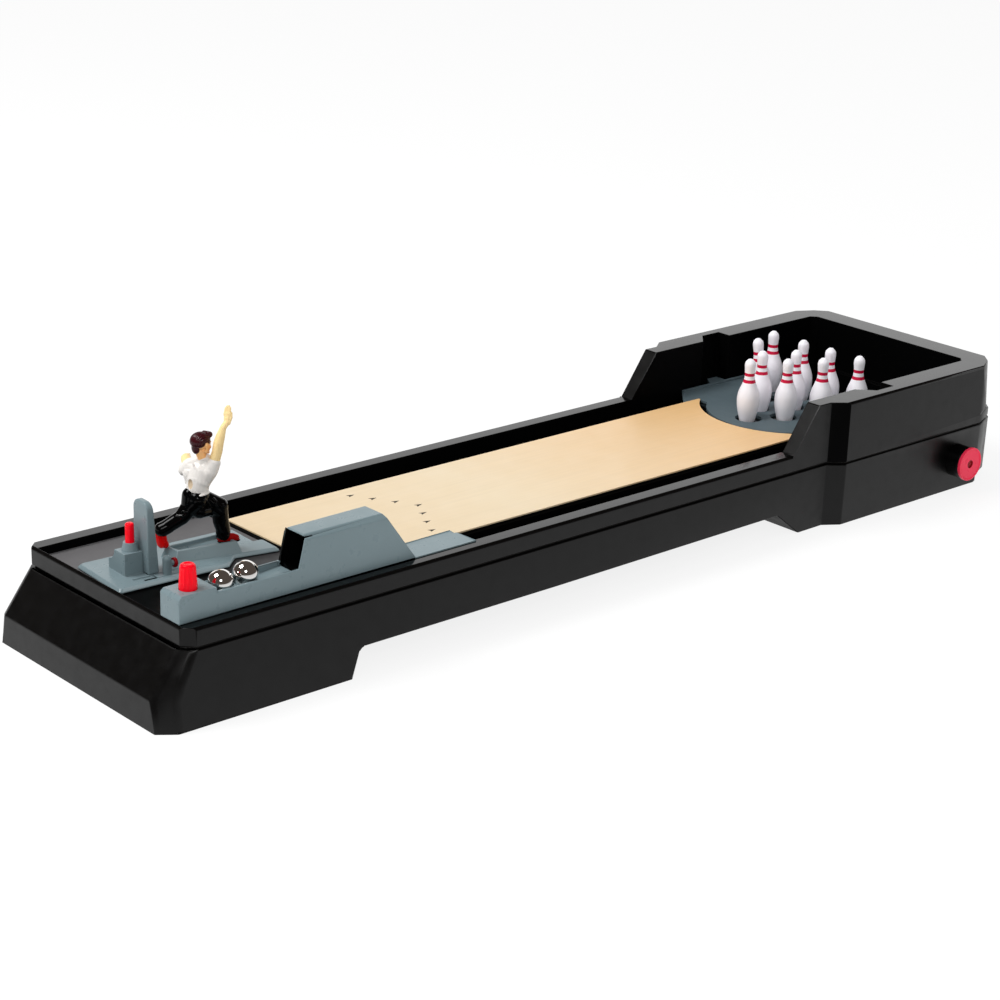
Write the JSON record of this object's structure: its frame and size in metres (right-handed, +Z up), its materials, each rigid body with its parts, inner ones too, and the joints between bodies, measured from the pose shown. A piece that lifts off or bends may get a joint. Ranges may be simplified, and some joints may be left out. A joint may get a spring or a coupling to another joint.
{
  "type": "miniature bowling set",
  "caption": "Table-top bowling game: two-part casing with a lane, a bowler on a turning launcher, steel balls in a return console and pins on a deck, reset by a pull knob.",
  "frame": {"origin": "middle of the casing's width, below the front edge of its upper half, on the plane that the feet stand on", "axes": "+X to the player's right, +Y from the player's end towards the pins, +Z up"},
  "size_m": [0.1471, 0.5482, 0.109],
  "materials": {
    "black_plastic": "black moulded plastic, glossy",
    "blue_grey_plastic": "blue-grey moulded plastic, satin",
    "red_plastic": "red moulded plastic",
    "lane_board": "pale maple coloured print, satin",
    "white_plastic": "white moulded plastic with red rings",
    "ball_steel": "polished steel",
    "screw_steel": "zinc plated steel",
    "trouser_black": "black lacquer",
    "shirt_white": "white lacquer",
    "skin": "skin coloured lacquer",
    "hair_brown": "dark brown lacquer",
    "shoe_red": "dark red lacquer"
  },
  "bodies": {
    "casing": {"lower_casing": "black_plastic", "front_bay": "black_plastic", "upper_casing": "black_plastic", "pin_enclosure": "black_plastic", "casing_screws": "screw_steel", "lane_board": "lane_board", "pin_deck": "blue_grey_plastic", "pin_seat_plate": "black_plastic", "deck_screws": "screw_steel", "ball_console": "blue_grey_plastic", "return_ramp": "black_plastic", "button_spring": "screw_steel", "knob_boss": "black_plastic"},
    "button": {"console_button": "red_plastic"},
    "launcher": {"launcher_plate": "blue_grey_plastic", "launcher_screw": "screw_steel", "aim_washer": "screw_steel", "aiming_grip": "blue_grey_plastic", "trigger_spring": "screw_steel", "trigger_plug": "black_plastic", "figure_trousers": "trouser_black", "figure_shirt": "shirt_white", "figure_head": "skin", "figure_hair": "hair_brown", "figure_right_arm": "skin", "figure_left_arm": "skin", "figure_shoes": "shoe_red"},
    "striker": {"striker": "blue_grey_plastic", "striker_pad": "red_plastic", "striker_keeper": "black_plastic"},
    "trigger": {"trigger_peg": "red_plastic"},
    "reset": {"reset_knob": "red_plastic", "reset_shaft": "screw_steel", "cord_carriage": "black_plastic", "shaft_clip": "screw_steel"},
    "pin_1": {"pin_1": "white_plastic"},
    "pin_2": {"pin_2": "white_plastic"},
    "pin_3": {"pin_3": "white_plastic"},
    "pin_4": {"pin_4": "white_plastic"},
    "pin_5": {"pin_5": "white_plastic"},
    "pin_6": {"pin_6": "white_plastic"},
    "pin_7": {"pin_7": "white_plastic"},
    "pin_8": {"pin_8": "white_plastic"},
    "pin_9": {"pin_9": "white_plastic"},
    "pin_10": {"pin_10": "white_plastic"},
    "ball_1": {"ball_1": "ball_steel"},
    "ball_2": {"ball_2": "ball_steel"}
  },
  "joints": [
    {"name": "launcher_aim", "type": "hinge", "parent": "casing", "child": "launcher", "pos_m": [0, 0.086, 0.04], "axis": [0, 0, 1], "range_deg": [-4, 9]},
    {"name": "striker_pull", "type": "slide", "parent": "launcher", "child": "striker", "axis": [-0.0523, -0.9986, 0], "range_m": [0, 0.01], "stiffness_N_per_m": 40, "springref_m": -0.004},
    {"name": "trigger_press", "type": "slide", "parent": "launcher", "child": "trigger", "axis": [0, 0, -1], "range_m": [0, 0.003], "stiffness_N_per_m": 40, "springref_m": -0.004, "deforming": ["trigger_spring"]},
    {"name": "button_press", "type": "slide", "parent": "casing", "child": "button", "axis": [0, 0, -1], "range_m": [0, 0.003], "stiffness_N_per_m": 90, "springref_m": -0.004, "deforming": ["button_spring"]},
    {"name": "reset_pull", "type": "slide", "parent": "casing", "child": "reset", "axis": [1, 0, 0], "range_m": [0, 0.014]},
    {"name": "pin_1_lift", "type": "slide", "parent": "casing", "child": "pin_1", "axis": [0, 0, 1], "range_m": [0, 0.03]},
    {"name": "pin_2_lift", "type": "slide", "parent": "casing", "child": "pin_2", "axis": [0, 0, 1], "range_m": [0, 0.03]},
    {"name": "pin_3_lift", "type": "slide", "parent": "casing", "child": "pin_3", "axis": [0, 0, 1], "range_m": [0, 0.03]},
    {"name": "pin_4_lift", "type": "slide", "parent": "casing", "child": "pin_4", "axis": [0, 0, 1], "range_m": [0, 0.03]},
    {"name": "pin_5_lift", "type": "slide", "parent": "casing", "child": "pin_5", "axis": [0, 0, 1], "range_m": [0, 0.03]},
    {"name": "pin_6_lift", "type": "slide", "parent": "casing", "child": "pin_6", "axis": [0, 0, 1], "range_m": [0, 0.03]},
    {"name": "pin_7_lift", "type": "slide", "parent": "casing", "child": "pin_7", "axis": [0, 0, 1], "range_m": [0, 0.03]},
    {"name": "pin_8_lift", "type": "slide", "parent": "casing", "child": "pin_8", "axis": [0, 0, 1], "range_m": [0, 0.03]},
    {"name": "pin_9_lift", "type": "slide", "parent": "casing", "child": "pin_9", "axis": [0, 0, 1], "range_m": [0, 0.03]},
    {"name": "pin_10_lift", "type": "slide", "parent": "casing", "child": "pin_10", "axis": [0, 0, 1], "range_m": [0, 0.03]},
    {"name": "ball_1_lift", "type": "slide", "parent": "casing", "child": "ball_1", "axis": [0, 0, 1], "range_m": [0, 0.03]},
    {"name": "ball_2_lift", "type": "slide", "parent": "casing", "child": "ball_2", "axis": [0, 0, 1], "range_m": [0, 0.03]}
  ]
}
